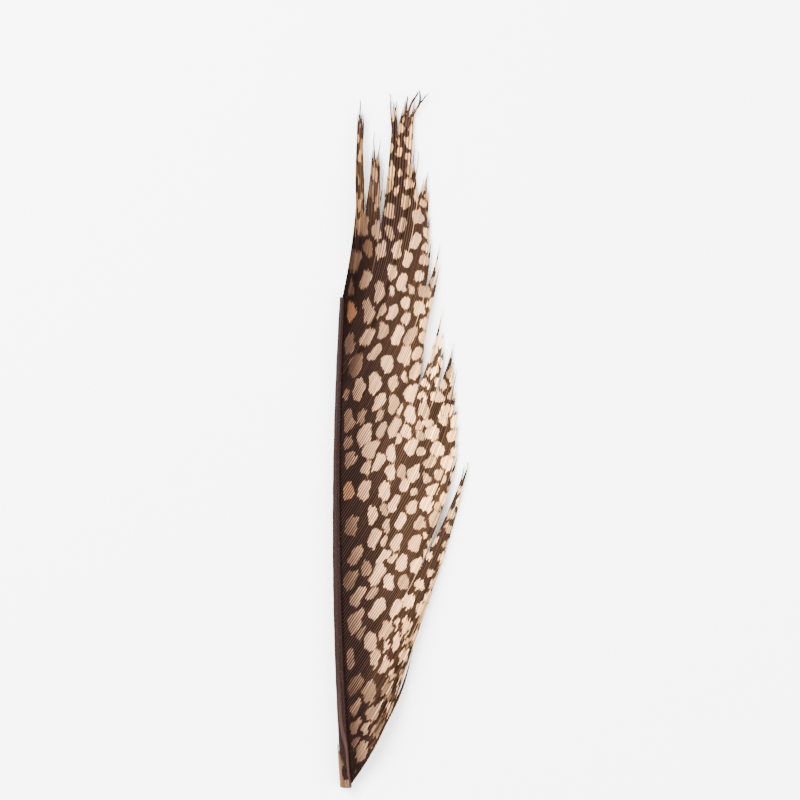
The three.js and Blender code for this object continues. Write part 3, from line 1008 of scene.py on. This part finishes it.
class FeatherShaftSettings(bpy.types.PropertyGroup):
    """Detail and colours of the shaft"""
    rings: count_setting("Rings", "Rings along the shaft", 180, 20, 600)
    sides: count_setting("Sides", "Corners round the shaft", 32, 8, 96)
    cortex: size_setting("Cortex", "Thickness of the dark skin round the pale pith", 0.00024)
    horn: colour_setting("Horn", "The shaft's dark glossy flank", (0.0065, 0.002, 0.0013))
    # This colour paints the highlight on the shaft's left shoulder as a grey-violet band.
    painted_highlight: colour_setting("Painted highlight", "The grey-violet band on the shaft's left shoulder",
                          (0.03, 0.0145, 0.012))
    pith: colour_setting("Pith", "The pale cut middle of the shaft", (0.82, 0.74, 0.66))


class FeatherVaneSettings(bpy.types.PropertyGroup):
    """Detail of one vane"""
    pitch: size_setting("Barb pitch", "Distance between barbs beside the shaft", 0.00041)
    stations: count_setting("Stations", "Steps along each barb", 84, 12, 200)
    gathering: share_setting(
        "Gathering", "How far the barbs of a lock run together at its tip", 0.72)
    spot_size: bpy.props.FloatProperty(
        name="Spot size", description="Scale of the spots", default=1, min=0.3, max=3)
    # This share sets how much painted shade darkens the grooves between barbs.
    painted_groove_shade: share_setting("Painted Groove Shade", "How dark the grooves between barbs are", 0.84)


class FeatherPlumageSettings(bpy.types.PropertyGroup):
    """Colours that both vanes share"""
    ground_near: colour_setting("Ground by shaft", "Dark ground beside the shaft",
                                (0.0125, 0.0053, 0.0038))
    ground_edge: colour_setting("Ground at edge", "Brown ground at the free edge",
                                (0.038, 0.018, 0.0095))
    spot_near: colour_setting("Spots by shaft", "Tan spots beside the shaft",
                              (0.07, 0.035, 0.022))
    spot_middle: colour_setting("Spots at middle", "Pinkish spots of the middle of the vane",
                                (0.6, 0.322, 0.17))
    spot_edge: colour_setting("Spots at edge", "Cream spots of the free edge",
                              (0.98, 0.53, 0.22))
    spot_tuft: colour_setting("Spots on tufts", "Golden blocks of the split tips",
                              (0.46, 0.22, 0.078))
    rufous: colour_setting("Rufous", "The few orange-brown spots", (0.22, 0.09, 0.036))


class FeatherStageSettings(bpy.types.PropertyGroup):
    """The floor, the light and the view"""
    floor: colour_setting("Floor", "The plain pale floor", (0.95, 0.95, 0.95))
    key_power: bpy.props.FloatProperty(
        name="Key light", description="Power of the large soft light", default=20, min=0,
        unit="POWER")
    view_width: size_setting("View width", "Width of the floor that the camera sees", 0.16)
    lens: bpy.props.FloatProperty(
        name="Lens", description="Focal length of the camera", default=100, min=10, max=400,
        subtype="DISTANCE_CAMERA")


# Pieces

def build_vane(scene, vane, settings, add_rest, label):
    """One mesh of a vane's barbs and of what else belongs to it."""
    sheet = BarbSheet()
    grow_barbs(sheet, vane, settings)
    add_rest(sheet)
    material = vane_material(label + "_plumage", scene.feather_plumage, settings.painted_groove_shade)
    return sheet.build(label + "_barbs", material)


class FEATHER_OT_shaft(bpy.types.Operator):
    """Builds the shaft as a lofted rod with a flat cut at each end"""
    bl_idname = "feather.shaft"
    bl_label = "Shaft"

    def execute(self, context):
        settings = context.scene.feather_shaft
        turn = (np.arange(settings.sides) + 0.5) / settings.sides * 2 * np.pi
        rings, pale = shaft_rings(settings, turn)
        faces, bake = close_tube(rings)
        ends = np.stack([rings[0].mean(0), rings[-1].mean(0)])
        up = rings[:, 0, 1]
        slide = 0.75 * (1 - smooth(up, 6, 14))
        layers = {
            "flank": np.append((np.cos(turn) - slide[:, None]).ravel(), [0, 0]),
            "pith": np.append(np.repeat(pale, settings.sides), [1, 1]),
            "cut": np.append(np.repeat(1 - smooth(up, 6, 30), settings.sides), [1, 0]),
        }
        piece = add_object("shaft_horn", np.concatenate([rings.reshape(-1, 3), ends]), faces,
                           layers, bake, shaft_material(settings))
        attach(piece, "root")
        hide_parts("shaft")
        return {"FINISHED"}


class FEATHER_OT_upper_vane(bpy.types.Operator):
    """Builds the vane that faces up, barb by barb, with its loose barbs"""
    bl_idname = "feather.upper_vane"
    bl_label = "Upper vane"

    def execute(self, context):
        scene = context.scene
        piece = build_vane(scene, UPPER_VANE, scene.feather_upper, add_loose_barbs, "upper")
        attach(piece, "root")
        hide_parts("upper_vane")
        return {"FINISHED"}


class FEATHER_OT_lower_vane(bpy.types.Operator):
    """Builds the vane folded beneath, barb by barb, with its sliver beside the cut"""
    bl_idname = "feather.lower_vane"
    bl_label = "Lower vane"

    def execute(self, context):
        scene = context.scene
        piece = build_vane(scene, LOWER_VANE, scene.feather_lower, add_cut_end_flap, "lower")
        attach(piece, "root")
        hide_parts("lower_vane")
        return {"FINISHED"}


class FEATHER_OT_stage(bpy.types.Operator):
    """Adds the pale floor, the soft lights and the camera looking straight down"""
    bl_idname = "feather.stage"
    bl_label = "Stage"

    def execute(self, context):
        settings = context.scene.feather_stage
        bpy.ops.mesh.primitive_plane_add(size=FLOOR_SIZE, location=(0, 0, -FLOOR_DROP))
        floor = context.object
        floor.name = "floor"
        paint, _, surface = new_material("floor_paint")
        surface.inputs["Base Color"].default_value = (*settings.floor, 1)
        surface.inputs["Roughness"].default_value = 0.9
        floor.data.materials.append(paint)

        world = bpy.data.worlds.new("studio")
        world.use_nodes = True
        world.node_tree.nodes["Background"].inputs["Color"].default_value = (1, 1, 1, 1)
        world.node_tree.nodes["Background"].inputs["Strength"].default_value = WORLD_STRENGTH
        context.scene.world = world
        for name, (place, size, share) in LAMPS.items():
            self.add_light(name, place, size, settings.key_power * share)
        self.add_camera(context, settings)
        return {"FINISHED"}

    def add_light(self, name, place, size, power):
        lamp = bpy.data.lights.new(name, "AREA")
        lamp.shape = "DISK"
        lamp.size = size
        lamp.energy = power
        light = bpy.data.objects.new(name, lamp)
        light.location = place
        aim = -light.location.normalized()
        light.rotation_euler = aim.to_track_quat("-Z", "Y").to_euler()
        bpy.context.collection.objects.link(light)

    def add_camera(self, context, settings):
        camera = bpy.data.cameras.new("camera")
        camera.lens = settings.lens
        camera.sensor_width = SENSOR_WIDTH
        camera.clip_end = 10
        eye = bpy.data.objects.new("camera", camera)
        distance = settings.view_width * settings.lens / camera.sensor_width
        eye.location = (0, (VIEW_MIDDLE + PLAN_ORIGIN[1]) * MM, VIEW_HEIGHT + distance)
        context.collection.objects.link(eye)
        context.scene.camera = eye


class FEATHER_PT_sidebar(bpy.types.Panel):
    """Lists the feather's pieces and their settings"""
    bl_idname = "FEATHER_PT_sidebar"
    bl_label = "Tail Feather"
    bl_space_type = "VIEW_3D"
    bl_region_type = "UI"
    bl_category = "Feather"

    def draw(self, context):
        scene = context.scene
        for operator, settings in (
                ("feather.shaft", scene.feather_shaft), ("feather.upper_vane", scene.feather_upper),
                ("feather.lower_vane", scene.feather_lower), ("feather.stage", scene.feather_stage),
                (None, scene.feather_plumage)):
            box = self.layout.box()
            if operator:
                box.operator(operator)
            for name in settings.bl_rna.properties.keys():
                if name not in {"rna_type", "name"}:
                    box.prop(settings, name)


CLASSES = (
    FeatherShaftSettings, FeatherVaneSettings, FeatherPlumageSettings, FeatherStageSettings,
    FEATHER_OT_shaft, FEATHER_OT_upper_vane, FEATHER_OT_lower_vane, FEATHER_OT_stage,
    FEATHER_PT_sidebar,
)
SETTINGS = {
    "feather_shaft": FeatherShaftSettings,
    "feather_upper": FeatherVaneSettings,
    "feather_lower": FeatherVaneSettings,
    "feather_plumage": FeatherPlumageSettings,
    "feather_stage": FeatherStageSettings,
}


def register():
    for item in CLASSES:
        bpy.utils.register_class(item)
    for name, group in SETTINGS.items():
        setattr(bpy.types.Scene, name, bpy.props.PointerProperty(type=group))


def unregister():
    for name in SETTINGS:
        delattr(bpy.types.Scene, name)
    for item in reversed(CLASSES):
        bpy.utils.unregister_class(item)


def main():
    register()
    bpy.ops.feather.shaft()
    bpy.ops.feather.upper_vane()
    bpy.ops.feather.lower_vane()
    bpy.ops.feather.stage()


if __name__ == "__main__":
    main()
